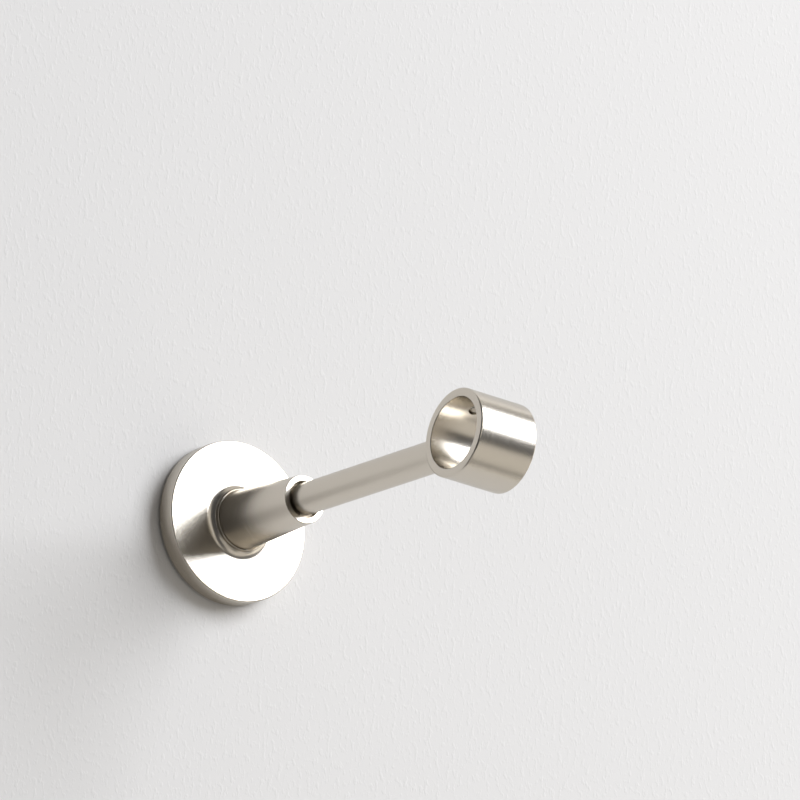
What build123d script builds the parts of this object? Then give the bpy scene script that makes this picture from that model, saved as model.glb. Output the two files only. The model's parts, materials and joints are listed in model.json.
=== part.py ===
"""Curtain pole bracket: a round cover on a wall plate, a tapered post, a telescoping arm and a ring for the pole.

The wall is the plane y = 0. The arm stands out of it along -Y, the pole runs along X and Z is up.
The origin is the centre of the wall plate's back.
"""

import os
from math import cos, radians, sin

from build123d import *

# Pole ring
pole_diameter = 25.4
pole_clearance = 0.3
ring_wall = 3.15
ring_length = 24.4

# Arm: a round bar, coped to the ring at one end and sliding in the post at the other
projection = 152.4
arm_diameter = 11.7
arm_travel = 20.0
arm_end_gap = 0.5
arm_fit = 0.05

# Post: a tapered turned piece with a guide bore for the arm and a wider mouth
post_reach = 49.0
post_base_diameter = 22.7
post_end_diameter = 17.75
post_floor = 8.0
mouth_gap = 0.9
mouth_depth = 4.0

# Cover: a shallow cup, a little clear of the wall, with a stepped and coved collar that follows the post's taper
cover_diameter = 60.0
cover_depth = 7.5
cover_wall = 1.6
cover_wall_gap = 1.0
collar_height = 4.5
collar_wall = 2.9
collar_gap = 0.1
collar_step_height = 2.3
collar_step_width = 2.05
collar_cove_radius = 1.5

# Wall plate, with holes for three countersunk wood screws
plate_thickness = 4.0
plate_fit = 0.05
wall_screw_hole = 4.5
wall_screw_head = 8.8
wall_screw_circle = 40.0
wall_screw_count = 3
first_wall_screw_angle = 90.0

# Countersunk socket screw that holds the post on the plate
post_screw_diameter = 6.0
post_screw_head = 12.0
post_screw_recess = 0.1
post_screw_tip_gap = 1.5
post_screw_socket = 4.0
post_screw_socket_depth = 2.2
post_screw_clearance = 0.3
countersink_angle = 90.0

# Socket set screws that lock the arm in the post and the pole in the ring
set_screw_diameter = 5.0
set_screw_sink = 0.05
set_screw_socket = 2.5
set_screw_socket_depth = 1.4
set_screw_tip_gap = 0.1
thread_fit = 0.05
post_set_screw_inset = 8.5
ring_set_screw_angle = 70.0
hexagon_sides = 6

# Rounded and chamfered edges, as shares of the walls and bars they stand on
ring_outer_edge_share = 0.22
ring_inner_edge_share = 0.11
arm_edge_share = 0.1
post_edge_share = 0.12
mouth_edge_share = 0.1
lip_edge_share = 0.15
step_edge_share = 0.2
cover_edge_share = 0.4
rim_edge_share = 0.19
plate_edge_share = 0.125
set_screw_edge_share = 0.375

# Sizes that follow from those above
ring_bore_radius = pole_diameter / 2 + pole_clearance
ring_radius = ring_bore_radius + ring_wall
arm_radius = arm_diameter / 2
guide_radius = arm_radius + arm_fit
mouth_radius = arm_radius + mouth_gap
bore_floor = plate_thickness + post_floor
arm_inner_end = bore_floor + arm_end_gap + arm_travel
cover_radius = cover_diameter / 2
cover_inner_radius = cover_radius - cover_wall
plate_radius = cover_inner_radius - plate_fit
post_slope = (post_base_diameter - post_end_diameter) / 2 / (post_reach - plate_thickness)
cover_front = cover_wall_gap + cover_depth
cup_floor = cover_front - cover_wall
collar_step_top = cover_front + collar_step_height
collar_top = cover_front + collar_height
post_end_wall = post_end_diameter / 2 - mouth_radius
post_screw_radius = post_screw_diameter / 2
post_screw_tip = bore_floor - post_screw_tip_gap
set_screw_radius = set_screw_diameter / 2
set_screw_hole_radius = set_screw_radius + thread_fit
set_screw_length = ring_wall - set_screw_tip_gap - set_screw_sink
post_set_screw_height = post_reach - post_set_screw_inset

# Section plane of the turned pieces: across is the radius, up is the distance from the wall
section = Plane(origin=(0, 0, 0), x_dir=(1, 0, 0), z_dir=(0, 0, -1))

# Seats of the two set screws: each plane's origin is the screw's tip, and its normal points to the socket
ring_centre = Vector(0, -projection, 0)
ring_screw_way = Vector(0, cos(radians(ring_set_screw_angle)), sin(radians(ring_set_screw_angle)))
ring_axis_plane = Plane(origin=ring_centre, x_dir=(1, 0, 0), z_dir=ring_screw_way)
ring_screw_seat = ring_axis_plane.offset(ring_bore_radius + set_screw_tip_gap)
post_axis_plane = Plane.XY.shift_origin((0, -post_set_screw_height, 0))
post_screw_seat = post_axis_plane.offset(arm_radius + set_screw_tip_gap)


def collar_bore(height):
    """Return the collar's bore radius at a height above the wall: the tapered post's radius and the gap around it."""
    return post_base_diameter / 2 - post_slope * (height - plate_thickness) + collar_gap


collar_foot_radius = collar_bore(cup_floor) + collar_wall
collar_lip_radius = collar_foot_radius - collar_step_width
collar_lip_wall = collar_lip_radius - collar_bore(collar_top)


def set_screw(seat):
    """Return a socket set screw: a chamfered flat tip on the seat plane and a hexagon socket at the other end."""
    with BuildPart() as screw:
        with BuildSketch(seat):
            Circle(set_screw_radius)
        extrude(amount=set_screw_length)
        tip_edge = screw.edges().sort_by(Axis(seat.origin, seat.z_dir))[0]
        chamfer(tip_edge, set_screw_edge_share * set_screw_radius)
        with BuildSketch(seat.offset(set_screw_length)):
            RegularPolygon(set_screw_socket / 2, hexagon_sides, major_radius=False)
        extrude(amount=-set_screw_socket_depth, mode=Mode.SUBTRACT)
    return screw.part


# Wall plate: a disc, countersunk at the front for the wall screws and at the back for the post screw
with BuildPart() as wall_plate:
    with BuildSketch(Plane.XZ):
        Circle(plate_radius)
    extrude(amount=plate_thickness)
    front = wall_plate.faces().sort_by(Axis.Y)[0]
    back = wall_plate.faces().sort_by(Axis.Y)[-1]
    chamfer(front.edges(), plate_edge_share * plate_thickness)
    with Locations(Plane.XZ.offset(plate_thickness)):
        with PolarLocations(wall_screw_circle / 2, wall_screw_count, start_angle=first_wall_screw_angle):
            CounterSinkHole(
                radius=wall_screw_hole / 2,
                counter_sink_radius=wall_screw_head / 2,
                depth=plate_thickness,
                counter_sink_angle=countersink_angle,
            )
    with Locations(back):
        CounterSinkHole(
            radius=post_screw_radius + post_screw_clearance,
            counter_sink_radius=post_screw_head / 2 + post_screw_recess,
            depth=plate_thickness,
            counter_sink_angle=countersink_angle,
        )
wall_plate.part.label = "wall_plate"

# Post screw: a countersunk head flush with the plate's back and a shank into the post's floor
with BuildPart() as post_screw:
    with BuildSketch(section):
        with BuildLine():
            Polyline(
                (0, post_screw_recess),
                (post_screw_head / 2, post_screw_recess),
                (post_screw_radius, post_screw_recess + post_screw_head / 2 - post_screw_radius),
                (post_screw_radius, post_screw_tip),
                (0, post_screw_tip),
                close=True,
            )
        make_face()
    revolve(axis=Axis.Y)
    with BuildSketch(Plane.XZ.offset(post_screw_recess)):
        RegularPolygon(post_screw_socket / 2, hexagon_sides, major_radius=False)
    extrude(amount=post_screw_socket_depth, mode=Mode.SUBTRACT)
post_screw.part.label = "post_screw"

# Post: one revolved section, wider at the mouth of its bore, with a cross hole at the top for its set screw
with BuildPart() as post:
    with BuildSketch(section):
        with BuildLine():
            Polyline(
                (post_screw_radius + thread_fit, plate_thickness),
                (post_base_diameter / 2, plate_thickness),
                (post_end_diameter / 2, post_reach),
                (mouth_radius, post_reach),
                (mouth_radius, post_reach - mouth_depth),
                (guide_radius, post_reach - mouth_depth),
                (guide_radius, bore_floor),
                (post_screw_radius + thread_fit, bore_floor),
                close=True,
            )
        make_face()
    revolve(axis=Axis.Y)
    end_edges = post.edges().group_by(Axis.Y)[0].sort_by(SortBy.RADIUS)
    fillet(end_edges[-1], post_edge_share * post_end_wall)
    chamfer(end_edges[0], mouth_edge_share * post_end_wall)
    with BuildSketch(post_axis_plane):
        Circle(set_screw_hole_radius)
    extrude(amount=post_base_diameter, mode=Mode.SUBTRACT)
post.part.label = "post"

# Cover: a revolved cup whose collar has an upright foot, a ledge, a hollow cove and a flat lip
with BuildPart() as cover:
    with BuildSketch(section):
        with BuildLine():
            Polyline(
                (collar_lip_radius + collar_cove_radius, collar_step_top),
                (collar_foot_radius, collar_step_top),
                (collar_foot_radius, cover_front),
                (cover_radius, cover_front),
                (cover_radius, cover_wall_gap),
                (cover_inner_radius, cover_wall_gap),
                (cover_inner_radius, cup_floor),
                (collar_bore(cup_floor), cup_floor),
                (collar_bore(collar_top), collar_top),
                (collar_lip_radius, collar_top),
                (collar_lip_radius, collar_step_top + collar_cove_radius),
            )
            CenterArc(
                center=(collar_lip_radius + collar_cove_radius, collar_step_top + collar_cove_radius),
                radius=collar_cove_radius,
                start_angle=180,
                arc_size=90,
            )
        make_face()
    revolve(axis=Axis.Y)
    # Flat faces in the order from the front to the back: lip, ledge, flange, inside of the cup and rim
    for place, edge_radius in (
        (0, lip_edge_share * collar_lip_wall),
        (1, step_edge_share * collar_step_height),
        (2, cover_edge_share * cover_wall),
        (-1, rim_edge_share * cover_wall),
    ):
        flat = cover.faces().filter_by(GeomType.PLANE).sort_by(Axis.Y)[place]
        fillet(flat.edges().sort_by(SortBy.RADIUS)[-1], edge_radius)
cover.part.label = "cover"

# Pole ring: a short tube along X with broken edges and a threaded hole on its upper wall side
with BuildPart() as pole_ring:
    with BuildSketch(Plane.YZ.shift_origin(ring_centre)):
        Circle(ring_radius)
        Circle(ring_bore_radius, mode=Mode.SUBTRACT)
    extrude(amount=ring_length / 2, both=True)
    inner_edges = pole_ring.edges().filter_by(GeomType.CIRCLE).group_by(SortBy.RADIUS)[0]
    fillet(inner_edges, ring_inner_edge_share * ring_wall)
    outer_edges = pole_ring.edges().filter_by(GeomType.CIRCLE).group_by(SortBy.RADIUS)[-1]
    fillet(outer_edges, ring_outer_edge_share * ring_wall)
    with BuildSketch(ring_axis_plane):
        Circle(set_screw_hole_radius)
    extrude(amount=ring_radius + ring_wall, mode=Mode.SUBTRACT)
pole_ring.part.label = "pole_ring"

# Arm: a round bar that runs up to the ring's axis and is coped to the ring's outside
with BuildPart() as arm:
    with BuildSketch(Plane.XZ.offset(arm_inner_end)):
        Circle(arm_radius)
    extrude(amount=projection - arm_inner_end)
    chamfer(arm.edges().sort_by(Axis.Y)[-1], arm_edge_share * arm_radius)
    with BuildSketch(Plane.YZ.shift_origin(ring_centre)):
        Circle(ring_radius)
    extrude(amount=arm_diameter, both=True, mode=Mode.SUBTRACT)
arm.part.label = "arm"

post_set_screw = set_screw(post_screw_seat)
post_set_screw.label = "post_set_screw"

ring_set_screw = set_screw(ring_screw_seat)
ring_set_screw.label = "ring_set_screw"

os.makedirs("parts", exist_ok=True)
export_step(wall_plate.part, "parts/wall_plate.step")
export_step(post_screw.part, "parts/post_screw.step")
export_step(post.part, "parts/post.step")
export_step(cover.part, "parts/cover.step")
export_step(arm.part, "parts/arm.step")
export_step(pole_ring.part, "parts/pole_ring.step")
export_step(post_set_screw, "parts/post_set_screw.step")
export_step(ring_set_screw, "parts/ring_set_screw.step")
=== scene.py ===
import json
import math

import bpy
import numpy as np
from bpy.props import FloatProperty, FloatVectorProperty, IntProperty, PointerProperty
from mathutils import Matrix, Vector

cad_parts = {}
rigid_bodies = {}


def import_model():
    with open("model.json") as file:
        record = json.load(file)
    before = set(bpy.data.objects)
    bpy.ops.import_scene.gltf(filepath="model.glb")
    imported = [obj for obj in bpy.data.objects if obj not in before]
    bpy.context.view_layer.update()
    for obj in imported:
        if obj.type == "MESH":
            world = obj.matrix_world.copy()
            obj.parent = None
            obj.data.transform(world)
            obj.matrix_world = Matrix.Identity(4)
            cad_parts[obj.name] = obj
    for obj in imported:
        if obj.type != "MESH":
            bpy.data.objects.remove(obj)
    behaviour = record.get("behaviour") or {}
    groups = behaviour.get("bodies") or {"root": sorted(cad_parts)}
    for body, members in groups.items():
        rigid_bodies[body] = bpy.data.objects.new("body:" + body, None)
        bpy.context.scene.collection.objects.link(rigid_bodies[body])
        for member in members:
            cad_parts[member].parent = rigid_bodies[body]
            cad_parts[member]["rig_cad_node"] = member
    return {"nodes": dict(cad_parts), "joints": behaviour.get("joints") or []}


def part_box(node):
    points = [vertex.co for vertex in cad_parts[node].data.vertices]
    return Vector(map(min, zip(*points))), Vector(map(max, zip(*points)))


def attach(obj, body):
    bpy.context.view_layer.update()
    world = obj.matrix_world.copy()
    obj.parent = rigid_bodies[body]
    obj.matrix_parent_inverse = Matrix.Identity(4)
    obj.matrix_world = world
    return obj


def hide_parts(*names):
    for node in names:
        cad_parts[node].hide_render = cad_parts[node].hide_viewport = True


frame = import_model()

bl_info = {
    "name": "Curtain Pole Bracket",
    "version": (1, 0, 0),
    "blender": (4, 5, 0),
    "location": "3D View > Sidebar > Pole Bracket",
    "description": "Finishes, screw threads and stage for a wall bracket that holds a curtain pole",
    "category": "Object",
}

# The startup file's own objects go before the first measure of the bracket
for startup_object in [o for o in bpy.data.objects if o.type in {"MESH", "LIGHT", "CAMERA"}]:
    if "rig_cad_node" not in startup_object:
        bpy.data.objects.remove(startup_object)
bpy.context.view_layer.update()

MM = 0.001
ARC_STEPS = 13
SHARP_ANGLE = math.radians(35)

# Most values of a noise lie in this range
NOISE_RANGE = 0.3, 0.7

# Satin nickel: size and depth of the blasted grain, its share in the roughness beside the brush lines, the swing of
# the roughness around its mean, and the share of light that a grazing reflection keeps
NICKEL_GRAIN = 0.24 * MM
NICKEL_GRAIN_DEPTH = 0.02 * MM
NICKEL_GRAIN_SHARE = 0.3
NICKEL_SWING = 0.015
NICKEL_EDGE_TINT = 0.83

# Zinc plate: width of the crystals, size and depth of the grain, range of the roughness
ZINC_CRYSTAL = 4 * MM
ZINC_GRAIN = 0.3 * MM
ZINC_GRAIN_DEPTH = 0.01 * MM
ZINC_ROUGHNESS = 0.3, 0.42

# Screw steel: width of the worn patches, range of the roughness
STEEL_WEAR = 0.5 * MM
STEEL_ROUGHNESS = 0.24, 0.36

# Roller texture of the wall: width and depth of its flecks, the pattern's scale along the wall's height, which is
# below one because they are taller than wide, and the noise values between which a fleck rises
NAP_SIZE = 1.9 * MM
NAP_DEPTH = 0.17 * MM
NAP_HEIGHT_SCALE = 0.6
NAP_RISE = 0.52, 0.8

# Screws: profile steps in a pitch, flat share of crest and root, fades of a thread that fit in a pitch, share of the
# tip's chamfer below the thread, the edge of the socket's floor and the depth of its cone as shares of its width
THREAD_STEPS = 10
THREAD_FLAT = 0.125
THREAD_FADE = 2
THREAD_START = 0.6
SOCKET_FLOOR = 0.98
SOCKET_CONE = 0.12

# Wall: how far it goes, its grid, how far its opening lies inside the plate's edge, and how far it lies behind the
# plate's back
WALL_REACH = 4.0
WALL_RINGS, WALL_STEPS = 40, 128
WALL_TUCK = 0.2 * MM
WALL_SETBACK = 0.15 * MM

SENSOR_WIDTH = 36.0

NODES = frame["nodes"]
JOINT_AXES = {joint["name"]: Vector(joint["axis"]).normalized() for joint in frame["joints"]}
RING_LOW, RING_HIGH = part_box("pole_ring")
RING_CENTRE = (RING_LOW + RING_HIGH) / 2
PLATE_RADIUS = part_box("wall_plate")[1].x


def linear(hex_colour):
    """Return the linear RGB of an sRGB hex colour."""
    srgb = [int(hex_colour[i : i + 2], 16) / 255 for i in (1, 3, 5)]
    return tuple(c / 12.92 if c <= 0.04045 else ((c + 0.055) / 1.055) ** 2.4 for c in srgb)


class BracketScrews(bpy.types.PropertyGroup):
    """Threads and sockets of the screws."""

    set_screw_pitch: FloatProperty(
        name="Set screw pitch", description="Rise of the set screws' thread in one turn",
        default=0.8 * MM, min=0.1 * MM, unit="LENGTH", precision=5,
    )
    set_screw_socket: FloatProperty(
        name="Set screw socket", description="Hexagon socket of the set screws, across flats",
        default=2.5 * MM, min=0.5 * MM, unit="LENGTH", precision=5,
    )
    set_screw_socket_depth: FloatProperty(
        name="Set screw socket depth", description="Depth of the set screws' socket",
        default=1.4 * MM, min=0.2 * MM, unit="LENGTH", precision=5,
    )
    set_screw_chamfer: FloatProperty(
        name="Set screw chamfer", description="Chamfer at the set screws' flat tip",
        default=0.94 * MM, min=0.0, unit="LENGTH", precision=5,
    )
    post_screw_pitch: FloatProperty(
        name="Post screw pitch", description="Rise of the post screw's thread in one turn",
        default=1.0 * MM, min=0.1 * MM, unit="LENGTH", precision=5,
    )
    post_screw_shank: FloatProperty(
        name="Post screw diameter", description="Diameter over the post screw's thread",
        default=6.0 * MM, min=1.0 * MM, unit="LENGTH", precision=5,
    )
    post_screw_socket: FloatProperty(
        name="Post screw socket", description="Hexagon socket of the post screw, across flats",
        default=4.0 * MM, min=0.5 * MM, unit="LENGTH", precision=5,
    )
    post_screw_socket_depth: FloatProperty(
        name="Post screw socket depth", description="Depth of the post screw's socket",
        default=2.2 * MM, min=0.2 * MM, unit="LENGTH", precision=5,
    )
    thread_height: FloatProperty(
        name="Thread height", description="Height of a thread, as a share of its pitch",
        default=0.6, min=0.1, max=0.9, subtype="FACTOR",
    )
    around: IntProperty(
        name="Steps around", description="Grid steps around a screw, a multiple of six",
        default=96, min=24, max=384,
    )


class BracketCover(bpy.types.PropertyGroup):
    """Section of the cover, with the collar's hollow foot and narrow lip."""

    depth: FloatProperty(
        name="Cover depth", description="From the back of the rim to the front of the flange",
        default=7.5 * MM, min=1.0 * MM, unit="LENGTH", precision=5,
    )
    wall: FloatProperty(
        name="Cover wall", description="Thickness of the pressed metal",
        default=1.6 * MM, min=0.2 * MM, unit="LENGTH", precision=5,
    )
    front_edge: FloatProperty(
        name="Front edge", description="Radius of the flange's outer edge",
        default=0.5 * MM, min=0.0, unit="LENGTH", precision=5,
    )
    rim_edge: FloatProperty(
        name="Rim edge", description="Radius of the edge at the back of the rim",
        default=0.3 * MM, min=0.0, unit="LENGTH", precision=5,
    )
    foot: FloatProperty(
        name="Collar foot", description="Radius at which the collar starts to rise from the flange",
        default=14.6 * MM, min=1.0 * MM, unit="LENGTH", precision=5,
    )
    cove: FloatProperty(
        name="Collar cove", description="Radius of the wide hollow at the collar's foot",
        default=3.8 * MM, min=0.1 * MM, unit="LENGTH", precision=5,
    )
    throat: FloatProperty(
        name="Collar throat", description="Radius of the tighter hollow above it",
        default=0.9 * MM, min=0.1 * MM, unit="LENGTH", precision=5,
    )
    turn: FloatProperty(
        name="Collar turn", description="Slope at which the wide hollow goes over into the tighter one",
        default=math.radians(50), min=0.0, max=math.radians(80), subtype="ANGLE",
    )
    lip_height: FloatProperty(
        name="Lip height", description="From the flange to the top of the collar's lip",
        default=3.1 * MM, min=0.5 * MM, unit="LENGTH", precision=5,
    )
    lip_edge: FloatProperty(
        name="Lip edge", description="Radius of the lip's outer edge",
        default=0.2 * MM, min=0.0, unit="LENGTH", precision=5,
    )
    lip_fall: FloatProperty(
        name="Lip fall", description="How far the lip falls from its outer edge to the post",
        default=0.25 * MM, min=0.0, unit="LENGTH", precision=5,
    )
    around: IntProperty(
        name="Steps around", description="Grid steps around the cover",
        default=240, min=24, max=720,
    )


class BracketFinishes(bpy.types.PropertyGroup):
    """Colours and surface grain of the metals."""

    nickel_light: FloatVectorProperty(
        name="Nickel, light", description="Satin nickel where the brushing is finest",
        default=linear("#D4CDC2"), size=3, min=0.0, max=1.0, subtype="COLOR",
    )
    nickel_dark: FloatVectorProperty(
        name="Nickel, dark", description="Satin nickel in the deeper brush lines",
        default=linear("#CEC7BB"), size=3, min=0.0, max=1.0, subtype="COLOR",
    )
    nickel_roughness: FloatProperty(
        name="Nickel roughness", description="Mean roughness of the satin nickel",
        default=0.26, min=0.0, max=1.0, subtype="FACTOR",
    )
    brush_spacing: FloatProperty(
        name="Brush spacing", description="Distance between the brush lines",
        default=0.12 * MM, min=0.02 * MM, unit="LENGTH", precision=5,
    )
    brush_length: FloatProperty(
        name="Brush length", description="Length of a brush line around the piece",
        default=5.0 * MM, min=0.1 * MM, unit="LENGTH", precision=5,
    )
    zinc_light: FloatVectorProperty(
        name="Zinc, light", description="Bright zinc plate",
        default=linear("#C9CCD0"), size=3, min=0.0, max=1.0, subtype="COLOR",
    )
    zinc_dark: FloatVectorProperty(
        name="Zinc, dark", description="Bright zinc plate between its crystals",
        default=linear("#B7BCC2"), size=3, min=0.0, max=1.0, subtype="COLOR",
    )
    screw_steel: FloatVectorProperty(
        name="Screw steel", description="Plated steel of the set screws",
        default=linear("#CBC6BD"), size=3, min=0.0, max=1.0, subtype="COLOR",
    )


class BracketStage(bpy.types.PropertyGroup):
    """Wall, lamps and camera around the bracket."""

    wall: FloatVectorProperty(
        name="Wall", description="Matt painted plaster",
        default=linear("#E8E6E4"), size=3, min=0.0, max=1.0, subtype="COLOR",
    )
    background: FloatVectorProperty(
        name="Background", description="What the camera sees past the wall",
        default=linear("#E6E6E6"), size=3, min=0.0, max=1.0, subtype="COLOR",
    )
    room_level: FloatProperty(
        name="Room level", description="Radiance of the dim room around the bracket",
        default=0.08, min=0.0, max=2.0,
    )
    key_level: FloatProperty(
        name="Key level", description="Radiance of the large soft window light",
        default=8.3, min=0.0, max=40.0,
    )
    daylight: FloatVectorProperty(
        name="Daylight", description="Colour of the window light",
        default=(0.97, 1.0, 1.05), size=3, min=0.0, soft_max=2.0, subtype="COLOR",
    )
    indoor_light: FloatVectorProperty(
        name="Indoor light", description="Colour of what the room throws back",
        default=(1.0, 0.955, 0.87), size=3, min=0.0, soft_max=2.0, subtype="COLOR",
    )
    room_colour: FloatVectorProperty(
        name="Room colour", description="Colour of the dim room around the bracket",
        default=(0.98, 0.97, 1.0), size=3, min=0.0, soft_max=2.0, subtype="COLOR",
    )
    camera_place: FloatVectorProperty(
        name="Camera place", description="Where the camera stands",
        default=(-1.378029, -2.013799, -0.755351), size=3, subtype="TRANSLATION", unit="LENGTH",
    )
    camera_turn: FloatVectorProperty(
        name="Camera turn", description="Heading from the wall's normal, rise and roll of the camera",
        default=(math.radians(35.790), math.radians(18.345), math.radians(4.562)), size=3, subtype="EULER",
    )
    camera_lens: FloatProperty(
        name="Camera lens", description="Focal length in millimetres on a 36 mm wide sensor",
        default=315.0, min=10.0, max=1000.0,
    )


class BracketSettings(bpy.types.PropertyGroup):
    """All settings of the bracket's looks."""

    cover: PointerProperty(type=BracketCover)
    screws: PointerProperty(type=BracketScrews)
    finishes: PointerProperty(type=BracketFinishes)
    stage: PointerProperty(type=BracketStage)


def add_node(tree, kind, settings=None, values=None, links=None):
    """Add one node to a tree, with its settings, socket values and incoming links."""
    node = tree.nodes.new(kind)
    for name, value in (settings or {}).items():
        setattr(node, name, value)
    for socket, value in (values or {}).items():
        node.inputs[socket].default_value = value
    for socket, source in (links or {}).items():
        tree.links.new(source, node.inputs[socket])
    return node


def new_material(name):
    """Return an empty node material and its tree."""
    material = bpy.data.materials.new(name)
    material.use_nodes = True
    material.node_tree.nodes.clear()
    return material, material.node_tree


def noise(tree, place, size, detail, roughness=0.5):
    """Return the value of a noise with patches about as wide as size."""
    return add_node(
        tree, "ShaderNodeTexNoise", None, {"Scale": 1 / size, "Detail": detail, "Roughness": roughness},
        {"Vector": place},
    ).outputs["Fac"]


def spread(tree, value, low, high):
    """Return a noise's value, mapped from its usual range to low and high."""
    first, last = NOISE_RANGE
    return add_node(
        tree, "ShaderNodeMapRange", None,
        {"From Min": first, "From Max": last, "To Min": low, "To Max": high}, {"Value": value},
    ).outputs["Result"]


def blend(tree, dark, light, share):
    """Return a colour between two, by the share of the light one."""
    return add_node(
        tree, "ShaderNodeMix", {"data_type": "RGBA"}, {"A": (*dark, 1), "B": (*light, 1)}, {"Factor": share}
    ).outputs["Result"]


def raised(tree, height, strength, depth):
    """Return the normal of a surface that a pattern raises."""
    return add_node(
        tree, "ShaderNodeBump", None, {"Strength": strength, "Distance": depth}, {"Height": height}
    ).outputs["Normal"]


def close_metal(tree, values, links):
    """Close a material with a metal shader, at the default index of refraction."""
    shader = add_node(tree, "ShaderNodeBsdfPrincipled", None, {"Metallic": 1.0, **values}, links)
    add_node(tree, "ShaderNodeOutputMaterial", links={"Surface": shader.outputs["BSDF"]})


def dress(node_name, material):
    """Give a node of the frame its finish."""
    mesh = NODES[node_name].data
    mesh.materials.clear()
    mesh.materials.append(material)


def turned_nickel(name, finishes, turn, centre):
    """Satin nickel plate on a turned piece, finely brushed around the axis it was turned on and then blasted.

    The lines are hardly seen. The blasted ground spreads every reflection evenly, so that bright edges fade out
    softly, with a fine grain in the fading part. turn lays the turning axis on local Z.
    """
    material, tree = new_material(name)
    place = add_node(tree, "ShaderNodeTexCoord").outputs["Object"]
    spoke = add_node(
        tree, "ShaderNodeVectorMath", {"operation": "SUBTRACT"}, {1: centre}, {0: place}
    ).outputs["Vector"]
    local = add_node(tree, "ShaderNodeMapping", None, {"Rotation": turn}, {"Vector": spoke}).outputs["Vector"]
    parts = add_node(tree, "ShaderNodeSeparateXYZ", links={"Vector": local}).outputs
    across = add_node(tree, "ShaderNodeCombineXYZ", links={"X": parts["X"], "Y": parts["Y"]}).outputs["Vector"]
    radius = add_node(
        tree, "ShaderNodeVectorMath", {"operation": "LENGTH"}, links={0: across}
    ).outputs["Value"]
    # Lines follow the piece around, so the pattern changes fast along the radius and the axis, slowly around
    fast, slow = 1 / finishes.brush_spacing, 1 / finishes.brush_length
    stretched = add_node(
        tree, "ShaderNodeVectorMath", {"operation": "SCALE"}, {"Scale": slow}, {0: across}
    ).outputs["Vector"]
    flat = add_node(tree, "ShaderNodeSeparateXYZ", links={"Vector": stretched}).outputs
    rise = add_node(tree, "ShaderNodeMath", {"operation": "MULTIPLY"}, {1: fast}, {0: radius}).outputs["Value"]
    along = add_node(tree, "ShaderNodeMath", {"operation": "MULTIPLY"}, {1: fast}, {0: parts["Z"]}).outputs["Value"]
    seat = add_node(
        tree, "ShaderNodeCombineXYZ", links={"X": flat["X"], "Y": flat["Y"], "Z": rise}
    ).outputs["Vector"]
    lines = add_node(
        tree, "ShaderNodeTexNoise", {"noise_dimensions": "4D"},
        {"Scale": 1.0, "Detail": 2.0, "Roughness": 0.6}, {"Vector": seat, "W": along},
    ).outputs["Fac"]
    # Grain of the blasted ground under the plate, coarser than the real one so that it shows from a step away
    grain = noise(tree, place, NICKEL_GRAIN, detail=0.0)
    texture = add_node(
        tree, "ShaderNodeMix", {"data_type": "FLOAT"}, {"Factor": NICKEL_GRAIN_SHARE}, {"A": lines, "B": grain}
    ).outputs["Result"]
    colour = blend(tree, finishes.nickel_dark, finishes.nickel_light, lines)
    mean = finishes.nickel_roughness
    rough = spread(tree, texture, mean - NICKEL_SWING, mean + NICKEL_SWING)
    bump = raised(tree, grain, strength=0.5, depth=NICKEL_GRAIN_DEPTH)
    # Nickel throws back less light at a grazing angle than a metal without such an edge tint
    close_metal(
        tree, {"Specular Tint": (NICKEL_EDGE_TINT, NICKEL_EDGE_TINT, NICKEL_EDGE_TINT, 1)},
        {"Base Color": colour, "Roughness": rough, "Normal": bump},
    )
    return material


def plated_zinc(finishes):
    """Bright zinc plate on pressed steel: bluish silver, with faint cloudy crystals a few millimetres wide."""
    material, tree = new_material("bright_zinc_plate_on_pressed_steel")
    place = add_node(tree, "ShaderNodeTexCoord").outputs["Object"]
    clouds = noise(tree, place, ZINC_CRYSTAL, detail=4.0, roughness=0.6)
    grain = noise(tree, place, ZINC_GRAIN, detail=1.0)
    colour = blend(tree, finishes.zinc_dark, finishes.zinc_light, clouds)
    rough = spread(tree, clouds, *ZINC_ROUGHNESS)
    bump = raised(tree, grain, strength=0.3, depth=ZINC_GRAIN_DEPTH)
    close_metal(tree, {}, {"Base Color": colour, "Roughness": rough, "Normal": bump})
    return material


def rolled_screw_steel(finishes):
    """Nickel-plated screw steel with a rolled thread: smooth and bright, with small patches dulled by wear."""
    material, tree = new_material("nickel_plated_screw_steel")
    place = add_node(tree, "ShaderNodeTexCoord").outputs["Object"]
    wear = noise(tree, place, STEEL_WEAR, detail=2.0)
    rough = spread(tree, wear, *STEEL_ROUGHNESS)
    close_metal(tree, {"Base Color": (*finishes.screw_steel, 1)}, {"Roughness": rough})
    return material


def one_sided_plaster(stage):
    """Matt wall paint on plaster: a soft roller texture seen from the front, and nothing seen from behind."""
    material, tree = new_material("matt_paint_on_plaster")
    place = add_node(tree, "ShaderNodeTexCoord").outputs["Object"]
    stretched = add_node(
        tree, "ShaderNodeMapping", None, {"Scale": (1.0, 1.0, NAP_HEIGHT_SCALE)}, {"Vector": place}
    ).outputs["Vector"]
    nap = noise(tree, stretched, NAP_SIZE, detail=2.0, roughness=0.55)
    first, last = NAP_RISE
    flecks = add_node(
        tree, "ShaderNodeMapRange", None, {"From Min": first, "From Max": last}, {"Value": nap}
    ).outputs["Result"]
    bump = raised(tree, flecks, strength=0.5, depth=NAP_DEPTH)
    paint = add_node(
        tree, "ShaderNodeBsdfDiffuse", None, {"Color": (*stage.wall, 1), "Roughness": 0.0}, {"Normal": bump}
    ).outputs["BSDF"]
    clear = add_node(tree, "ShaderNodeBsdfTransparent").outputs["BSDF"]
    behind = add_node(tree, "ShaderNodeNewGeometry").outputs["Backfacing"]
    mixed = add_node(tree, "ShaderNodeMixShader", links={"Fac": behind, 1: paint, 2: clear}).outputs["Shader"]
    add_node(tree, "ShaderNodeOutputMaterial", links={"Surface": mixed})
    return material


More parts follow.
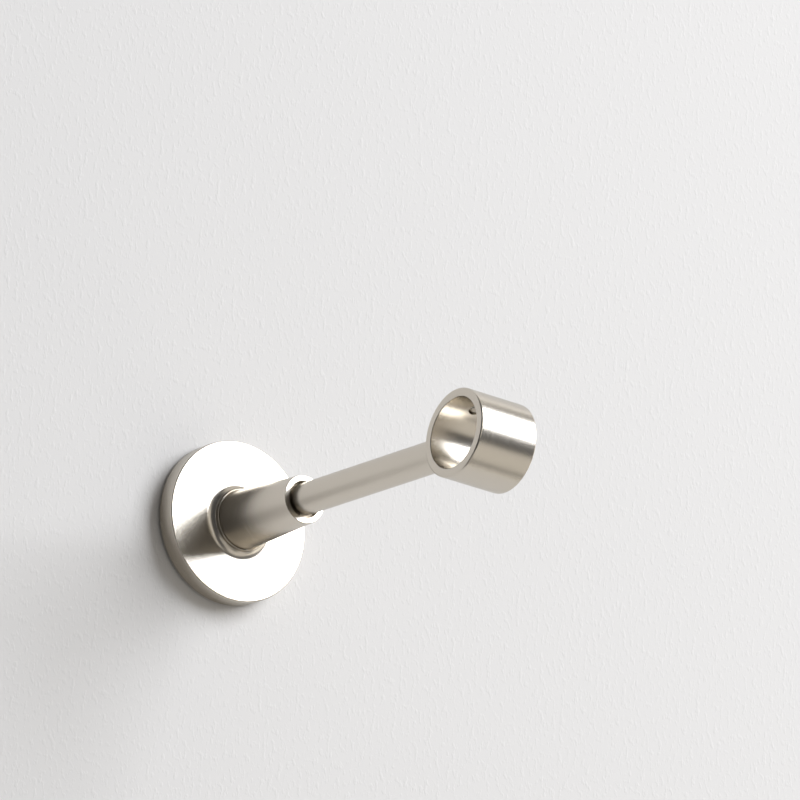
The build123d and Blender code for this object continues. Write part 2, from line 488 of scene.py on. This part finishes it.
def grid_mesh(name, points, poles=None, closed_section=False):
    """Return a mesh object from a grid of points.

    points is an array of rows x steps x 3, and each row runs once around. poles gives the single points that
    close the first and the last row, and closed_section joins the last row to the first.
    """
    rows, steps, _ = points.shape
    index = np.arange(rows * steps).reshape(rows, steps)
    right = np.roll(index, -1, axis=1)
    quads = np.stack([index, right, np.roll(right, -1, axis=0), np.roll(index, -1, axis=0)], -1)
    quads = (quads if closed_section else quads[:-1]).reshape(-1, 4)
    vertices, faces = points.reshape(-1, 3), quads.tolist()
    if poles is not None:
        first = np.stack([np.full(steps, rows * steps), right[0], index[0]], -1)
        end = np.stack([np.full(steps, rows * steps + 1), index[-1], right[-1]], -1)
        vertices = np.vstack([vertices, poles])
        faces += first.tolist() + end.tolist()
    mesh = bpy.data.meshes.new(name)
    mesh.from_pydata(vertices.tolist(), [], faces)
    mesh.validate()
    piece = bpy.data.objects.new(name, mesh)
    bpy.context.scene.collection.objects.link(piece)
    return piece


def solid_points(node_name):
    """Return the corner points of a node's solid as an array."""
    mesh = NODES[node_name].data
    places = np.empty(len(mesh.vertices) * 3)
    mesh.vertices.foreach_get("co", places)
    return places.reshape(-1, 3)


def arc(centre, radius, first, last):
    """Return points on an arc of a section, from the first to the last angle."""
    angle = np.linspace(first, last, ARC_STEPS)
    return np.stack([centre[0] + radius * np.cos(angle), centre[1] + radius * np.sin(angle)], -1)


def cover_section(sizes):
    """Return the cover's closed section as radius and height from the wall.

    It runs from the rim's back over the outside to the bore. The collar leaves the flange in a wide hollow arc
    that goes over into a tighter one without a kink, stands upright from there and ends in a lip that falls
    towards the post.
    """
    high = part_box("cover")[1]
    outside, back = high.x, -high.y
    inside = outside - sizes.wall
    front = back + sizes.depth
    floor = front - sizes.wall
    top = front + sizes.lip_height
    quarter, turn = math.pi / 2, sizes.turn
    wide = np.array((sizes.foot, front + sizes.cove))
    tight = wide - (sizes.cove - sizes.throat) * np.array((math.sin(turn), math.cos(turn)))
    upright = tight[0] - sizes.throat
    # The bore follows the post's taper, on the line through the solid's innermost points
    places = solid_points("cover")
    radius = np.hypot(places[:, 0], places[:, 2])
    inner = radius < radius.min() + sizes.wall / 3
    bore = np.poly1d(np.polyfit(-places[inner, 1], radius[inner], 1))
    low_lip = top - sizes.lip_fall
    return np.vstack([
        arc((outside - sizes.rim_edge, back + sizes.rim_edge), sizes.rim_edge, -quarter, 0),
        arc((outside - sizes.front_edge, front - sizes.front_edge), sizes.front_edge, 0, quarter),
        arc(wide, sizes.cove, -quarter, -quarter - turn),
        arc(tight, sizes.throat, -quarter - turn, -2 * quarter)[1:],
        arc((upright - sizes.lip_edge, top - sizes.lip_edge), sizes.lip_edge, 0, quarter),
        [(bore(low_lip), low_lip), (bore(floor), floor), (inside, floor), (inside, back)],
    ])


def screw_seat(node_name, axis):
    """Return a screw's tip point, two cross directions, axis, length and radius, measured on its solid."""
    places = solid_points(node_name)
    axis = np.array(axis)
    side = np.array((1.0, 0.0, 0.0))
    other = np.cross(axis, side)
    spans = [places @ way for way in (side, other, axis)]
    low, high = np.array([span.min() for span in spans]), np.array([span.max() for span in spans])
    centre = (low + high) / 2
    tip = side * centre[0] + other * centre[1] + axis * low[2]
    return tip, side, other, axis, high[2] - low[2], (high[0] - low[0]) / 2


def hexagon(angle, across_flats):
    """Distance from a hexagon's centre to its side at each angle: half its width over the cosine of the angle
    from the middle of that side."""
    sixth = np.pi / 3
    return across_flats / 2 / np.cos((angle + sixth / 2) % sixth - sixth / 2)


def threaded_screw(name, seat, outline, thread, socket, thread_height, steps):
    """Build a screw as a profile carried around its axis.

    outline is the list of radius and height from the tip's edge to the socket end's edge. Between the thread's
    two heights the radius is lowered by a rounded saw wave of the height in pitches less the angle in turns, so
    the groove climbs one pitch in a turn. It fades out at both ends. The socket is the same grid led down a
    hexagon, whose radius depends on the angle only.
    """
    tip, side, other, axis, length, _ = seat
    start, end, pitch = thread
    across_flats, depth = socket
    angle = np.linspace(0, 2 * np.pi, steps, endpoint=False)
    corners = np.array(outline)
    travel = np.concatenate([[0], np.cumsum(np.linalg.norm(np.diff(corners, axis=0), axis=1))])
    fine = np.unique(np.concatenate([np.arange(0, travel[-1], pitch / THREAD_STEPS), travel]))
    radius = np.interp(fine, travel, corners[:, 0])[:, None]
    height = np.interp(fine, travel, corners[:, 1])[:, None]
    wave = np.abs(((height / pitch - angle / (2 * np.pi)) % 1) * 2 - 1)
    groove = np.clip(wave * (1 + 2 * THREAD_FLAT) - THREAD_FLAT, 0, 1)
    fade = np.clip((height - start) / pitch, 0, 1) * np.clip((end - height) / pitch, 0, 1)
    outside = radius - thread_height * pitch * groove * np.clip(fade * THREAD_FADE, 0, 1)
    hollow = hexagon(angle, across_flats)
    rim = np.stack([hollow, hollow, hollow * SOCKET_FLOOR])
    levels = np.array([length, length - depth, length - depth])
    grown = np.vstack([outside, rim])
    rise = np.vstack([np.broadcast_to(height, outside.shape), np.broadcast_to(levels[:, None], rim.shape)])
    points = (
        tip
        + grown[..., None] * (np.cos(angle)[:, None] * side + np.sin(angle)[:, None] * other)
        + rise[..., None] * axis
    )
    floor = length - depth - across_flats * SOCKET_CONE
    piece = grid_mesh(name, points, np.array([tip, tip + floor * axis]))
    piece.data.shade_smooth()
    piece.data.set_sharp_from_angle(angle=SHARP_ANGLE)
    return piece


class POLEBRACKET_OT_turned_pieces(bpy.types.Operator):
    """Brush the cover, the post and the arm around the arm's axis"""

    bl_idname = "polebracket.turned_pieces"
    bl_label = "Cover, Post and Arm"

    def execute(self, context):
        finishes = context.scene.pole_bracket.finishes
        nickel = turned_nickel(
            "satin_nickel_brushed_around_arm", finishes, (math.radians(90), 0, 0), (0, 0, 0)
        )
        for node_name in ("cover", "post", "arm"):
            dress(node_name, nickel)
        return {"FINISHED"}


class POLEBRACKET_OT_cover(bpy.types.Operator):
    """Turn the cover with its hollow collar"""

    bl_idname = "polebracket.cover"
    bl_label = "Cover"

    def execute(self, context):
        """Carry the section around the arm's axis: a radius goes to its products with the angle's cosine and
        sine in x and z, and a height to its negative in y."""
        sizes = context.scene.pole_bracket.cover
        section = cover_section(sizes)
        radius, height = section[:, :1], section[:, 1:]
        angle = np.linspace(0, 2 * np.pi, sizes.around, endpoint=False)
        points = np.stack([radius * np.cos(angle), -height * np.ones_like(angle), radius * np.sin(angle)], -1)
        piece = grid_mesh("coved_cover", points, closed_section=True)
        piece.data.shade_smooth()
        piece.data.set_sharp_from_angle(angle=SHARP_ANGLE)
        piece.data.materials.append(NODES["cover"].data.materials[0])
        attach(piece, "cover")
        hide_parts("cover")
        return {"FINISHED"}


class POLEBRACKET_OT_pole_ring(bpy.types.Operator):
    """Brush the ring around the pole's axis"""

    bl_idname = "polebracket.pole_ring"
    bl_label = "Pole Ring"

    def execute(self, context):
        finishes = context.scene.pole_bracket.finishes
        nickel = turned_nickel(
            "satin_nickel_brushed_around_pole", finishes, (0, math.radians(-90), 0), RING_CENTRE
        )
        dress("pole_ring", nickel)
        return {"FINISHED"}


class POLEBRACKET_OT_wall_plate(bpy.types.Operator):
    """Zinc plate the wall plate"""

    bl_idname = "polebracket.wall_plate"
    bl_label = "Wall Plate"

    def execute(self, context):
        dress("wall_plate", plated_zinc(context.scene.pole_bracket.finishes))
        return {"FINISHED"}


class POLEBRACKET_OT_set_screws(bpy.types.Operator):
    """Cut the threads of the two set screws"""

    bl_idname = "polebracket.set_screws"
    bl_label = "Set Screws"

    def execute(self, context):
        settings = context.scene.pole_bracket
        sizes = settings.screws
        steel = rolled_screw_steel(settings.finishes)
        for node_name, axis in (
            ("ring_set_screw", -JOINT_AXES["ring_set_screw_travel"]),
            ("post_set_screw", JOINT_AXES["post_set_screw_travel"]),
        ):
            seat = screw_seat(node_name, axis)
            length, radius = seat[-2:]
            chamfer = sizes.set_screw_chamfer
            edge = 0.12 * MM
            outline = [
                (radius - chamfer, 0), (radius, chamfer), (radius, length - edge), (radius - edge, length),
            ]
            thread = (chamfer * THREAD_START, length, sizes.set_screw_pitch)
            socket = (sizes.set_screw_socket, sizes.set_screw_socket_depth)
            piece = threaded_screw(
                "threaded_" + node_name, seat, outline, thread, socket, sizes.thread_height, sizes.around
            )
            piece.data.materials.append(steel)
            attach(piece, node_name)
            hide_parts(node_name)
        return {"FINISHED"}


class POLEBRACKET_OT_post_screw(bpy.types.Operator):
    """Cut the thread of the countersunk screw behind the post"""

    bl_idname = "polebracket.post_screw"
    bl_label = "Post Screw"

    def execute(self, context):
        settings = context.scene.pole_bracket
        sizes = settings.screws
        seat = screw_seat("post_screw", Vector((0, 1, 0)))
        length, head = seat[-2:]
        shank = sizes.post_screw_shank / 2
        cone = length - (head - shank)
        tip, thread_start, plain_neck = 0.6 * MM, 0.2 * MM, 0.5 * MM
        outline = [(shank - tip, 0), (shank, tip), (shank, cone), (head, length)]
        thread = (thread_start, cone - plain_neck, sizes.post_screw_pitch)
        socket = (sizes.post_screw_socket, sizes.post_screw_socket_depth)
        piece = threaded_screw(
            "threaded_post_screw", seat, outline, thread, socket, sizes.thread_height, sizes.around
        )
        piece.data.materials.append(NODES["wall_plate"].data.materials[0])
        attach(piece, "base")
        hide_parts("post_screw")
        return {"FINISHED"}


class POLEBRACKET_OT_stage(bpy.types.Operator):
    """Set up the wall, the lamps, the room and the camera"""

    bl_idname = "polebracket.stage"
    bl_label = "Stage"

    def execute(self, context):
        scene, stage = context.scene, context.scene.pole_bracket.stage
        self.wall(stage)
        self.lamps(stage)
        self.room(scene, stage)
        self.camera(scene, stage)
        scene.view_settings.view_transform = "Standard"
        return {"FINISHED"}

    def wall(self, stage):
        """A disc in the wall's plane, radius times angle, with an opening that the bracket's back fills."""
        reach = np.geomspace(PLATE_RADIUS - WALL_TUCK, WALL_REACH, WALL_RINGS)[:, None]
        angle = np.linspace(0, 2 * np.pi, WALL_STEPS, endpoint=False)
        depth = np.full((WALL_RINGS, WALL_STEPS), WALL_SETBACK)
        points = np.stack([reach * np.cos(angle), depth, reach * np.sin(angle)], -1)
        wall = grid_mesh("wall", points)
        wall.data.materials.append(one_sided_plaster(stage))
        if wall.data.polygons[0].normal.y > 0:
            wall.data.flip_normals()

    def lamps(self, stage):
        """Soft lamps, aimed at the origin.

        A row gives the name, the heading from the wall's normal and the rise in degrees, then the distance, width
        and height in metres, the radiance and the colour.
        """
        day, indoor = stage.daylight, stage.indoor_light
        for name, heading, rise, distance, width, height, level, colour in (
            ("window_light", 37, 30, 4.5, 2.9, 2.9, stage.key_level, day),
            ("room_bounce", 0, 5, 3.0, 2.0, 2.0, 0.74, indoor),
            ("ceiling_card", 75, 72, 2.2, 2.0, 1.4, 0.6, indoor),
            ("floor_card", 48, -36, 2.0, 1.9, 1.2, 0.68, indoor),
            ("rug_card", -13, -60, 2.0, 1.7, 1.3, 0.42, indoor),
            ("sill_card", 98, -58, 2.0, 1.1, 0.7, 0.62, indoor),
            ("side_card", 80, 12, 2.2, 1.4, 2.8, 1.3, indoor),
            ("back_card", 200, 15, 2.0, 2.0, 2.0, 1.6, indoor),
        ):
            lamp = bpy.data.lights.new(name, "AREA")
            lamp.shape, lamp.size, lamp.size_y = "RECTANGLE", width, height
            lamp.energy = level * math.pi * width * height
            lamp.color = colour
            heading, rise = math.radians(heading), math.radians(rise)
            flat = math.cos(rise)
            way = Vector((math.sin(heading) * flat, -math.cos(heading) * flat, math.sin(rise)))
            facing = way.to_track_quat("Z", "Y").to_matrix().to_4x4()
            card = bpy.data.objects.new(name, lamp)
            card.matrix_world = Matrix.Translation(way * distance) @ facing
            card.visible_camera = False
            bpy.context.scene.collection.objects.link(card)

    def room(self, scene, stage):
        """A dim even room, and a plain pale background where the camera looks past the wall."""
        world = bpy.data.worlds.new("dim_room")
        world.use_nodes = True
        tree = world.node_tree
        tree.nodes.clear()
        seen = add_node(tree, "ShaderNodeLightPath").outputs["Is Camera Ray"]
        room = add_node(
            tree, "ShaderNodeBackground", None, {"Color": (*stage.room_colour, 1), "Strength": stage.room_level}
        ).outputs["Background"]
        pale = add_node(
            tree, "ShaderNodeBackground", None, {"Color": (*stage.background, 1), "Strength": 1.0}
        ).outputs["Background"]
        mixed = add_node(tree, "ShaderNodeMixShader", links={"Fac": seen, 1: room, 2: pale}).outputs["Shader"]
        add_node(tree, "ShaderNodeOutputWorld", links={"Surface": mixed})
        scene.world = world

    def camera(self, scene, stage):
        """A long lens to the left of the bracket and below it, rolled a little."""
        data = bpy.data.cameras.new("camera")
        data.sensor_width, data.lens = SENSOR_WIDTH, stage.camera_lens
        data.clip_start, data.clip_end = 0.05, 50.0
        camera = bpy.data.objects.new("camera", data)
        heading, rise, roll = stage.camera_turn
        look = Vector((math.sin(heading) * math.cos(rise), math.cos(heading) * math.cos(rise), math.sin(rise)))
        level = Vector((math.cos(heading), -math.sin(heading), 0))
        upright = level.cross(look)
        right = level * math.cos(roll) + upright * math.sin(roll)
        up = upright * math.cos(roll) - level * math.sin(roll)
        facing = Matrix((right, up, -look)).transposed().to_4x4()
        camera.matrix_world = Matrix.Translation(stage.camera_place) @ facing
        scene.collection.objects.link(camera)
        scene.camera = camera


class VIEW3D_PT_pole_bracket(bpy.types.Panel):
    """Steps and settings of the bracket's looks"""

    bl_label = "Pole Bracket"
    bl_space_type = "VIEW_3D"
    bl_region_type = "UI"
    bl_category = "Pole Bracket"

    def draw(self, context):
        settings = context.scene.pole_bracket
        for step in STEPS:
            self.layout.operator(step.bl_idname)
        for group in (settings.cover, settings.screws, settings.finishes, settings.stage):
            box = self.layout.box()
            for name in group.__annotations__:
                box.prop(group, name)


STEPS = (
    POLEBRACKET_OT_turned_pieces,
    POLEBRACKET_OT_cover,
    POLEBRACKET_OT_pole_ring,
    POLEBRACKET_OT_wall_plate,
    POLEBRACKET_OT_set_screws,
    POLEBRACKET_OT_post_screw,
    POLEBRACKET_OT_stage,
)
GROUPS = (BracketCover, BracketScrews, BracketFinishes, BracketStage, BracketSettings)
CLASSES = (*GROUPS, *STEPS, VIEW3D_PT_pole_bracket)


def register():
    for cls in CLASSES:
        bpy.utils.register_class(cls)
    bpy.types.Scene.pole_bracket = PointerProperty(type=BracketSettings)


def unregister():
    del bpy.types.Scene.pole_bracket
    for cls in reversed(CLASSES):
        bpy.utils.unregister_class(cls)


def main():
    """Register the add-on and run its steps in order."""
    register()
    bpy.ops.polebracket.turned_pieces()
    bpy.ops.polebracket.cover()
    bpy.ops.polebracket.pole_ring()
    bpy.ops.polebracket.wall_plate()
    bpy.ops.polebracket.set_screws()
    bpy.ops.polebracket.post_screw()
    bpy.ops.polebracket.stage()


if __name__ == "__main__":
    main()
